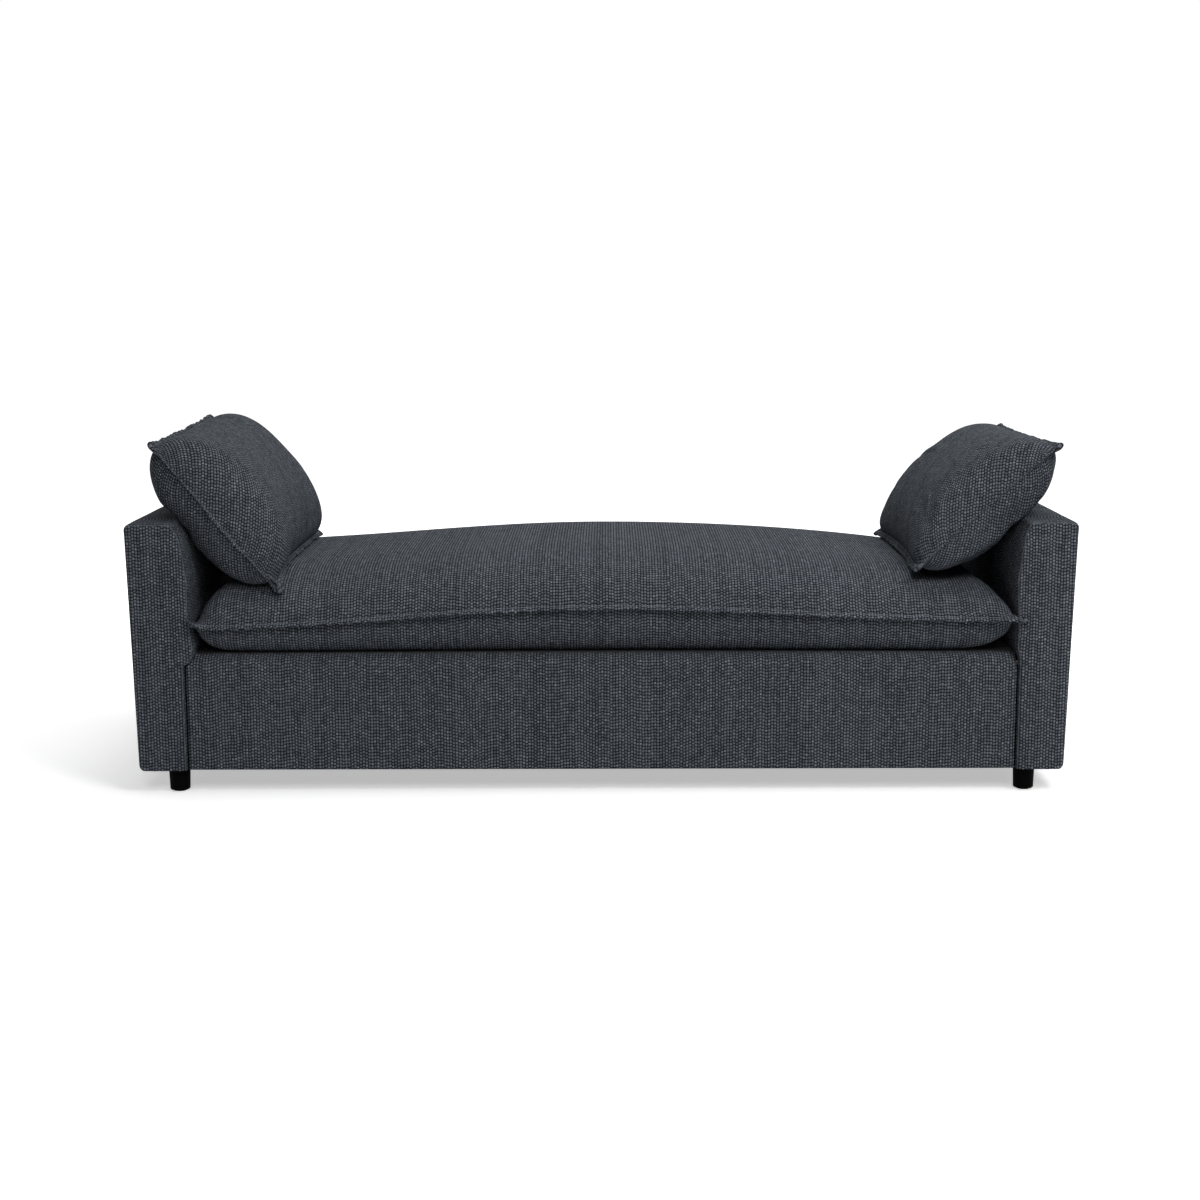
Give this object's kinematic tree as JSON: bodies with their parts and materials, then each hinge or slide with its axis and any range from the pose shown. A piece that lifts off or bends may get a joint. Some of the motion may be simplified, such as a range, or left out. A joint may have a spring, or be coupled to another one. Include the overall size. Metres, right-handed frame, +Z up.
{
  "type": "backless sofa",
  "caption": "Backless sofa with two upholstered slab arms, a loose bench seat cushion with a flange seam and a plump loose pillow leaning on each arm.",
  "frame": {"origin": "on the floor under the middle of the sofa", "axes": "+X along the seat to the viewer's right, +Y from the front to the back, +Z up"},
  "size_m": [2.18, 0.92, 0.8482],
  "materials": {
    "upholstery": "coarse woven charcoal upholstery cloth, matte",
    "seat_cloth": "the same charcoal cloth on the seat cushion",
    "pillow_cloth": "the same charcoal cloth on the pillows",
    "black_cloth": "thin black lining cloth",
    "webbing": "elastic webbing",
    "foam": "cut foam",
    "fibre": "white fibre filling",
    "fibreboard": "thin brown board",
    "timber": "sawn softwood",
    "black_leg": "turned leg, satin black paint",
    "glide": "grey plastic glide",
    "zinc_steel": "zinc plated"
  },
  "bodies": {
    "frame": {"front_rail": "timber", "back_rail": "timber", "left_side_rail": "timber", "right_side_rail": "timber", "cross_rails": "timber", "corner_blocks": "timber", "middle_leg_block": "timber", "left_arm_sill": "timber", "left_arm_front_post": "timber", "left_arm_back_post": "timber", "left_arm_top_rail": "timber", "left_arm_tack_rail": "timber", "left_arm_inner_board": "fibreboard", "left_arm_outer_board": "fibreboard", "left_arm_padding": "foam", "left_arm_cover": "upholstery", "right_arm_sill": "timber", "right_arm_front_post": "timber", "right_arm_back_post": "timber", "right_arm_top_rail": "timber", "right_arm_tack_rail": "timber", "right_arm_inner_board": "fibreboard", "right_arm_outer_board": "fibreboard", "right_arm_padding": "foam", "right_arm_cover": "upholstery", "frame_screws": "zinc_steel", "arm_bolts": "zinc_steel", "tee_nuts": "zinc_steel", "webbing_across": "webbing", "webbing_along": "webbing", "deck_pad": "foam", "deck_cloth": "black_cloth", "front_padding": "foam", "front_cover": "upholstery", "back_padding": "foam", "back_cover": "upholstery", "dust_cover": "black_cloth", "front_left_leg": "black_leg", "front_right_leg": "black_leg", "back_left_leg": "black_leg", "back_right_leg": "black_leg", "middle_leg": "black_leg", "leg_bolts": "zinc_steel", "leg_plates": "zinc_steel", "plate_screws": "zinc_steel", "leg_glides": "glide"},
    "seat_cushion": {"seat_core": "foam", "seat_wrap": "fibre", "seat_cover": "seat_cloth"},
    "left_pillow": {"left_pillow_insert": "fibre", "left_pillow_cover": "pillow_cloth"},
    "right_pillow": {"right_pillow_insert": "fibre", "right_pillow_cover": "pillow_cloth"}
  },
  "joints": [
    {"name": "seat_cushion_lift", "type": "slide", "parent": "frame", "child": "seat_cushion", "axis": [0, 0, 1], "range_m": [0, 0.35]},
    {"name": "left_pillow_lift", "type": "slide", "parent": "seat_cushion", "child": "left_pillow", "axis": [0, 0, 1], "range_m": [0, 0.3]},
    {"name": "right_pillow_lift", "type": "slide", "parent": "seat_cushion", "child": "right_pillow", "axis": [0, 0, 1], "range_m": [0, 0.3]}
  ]
}
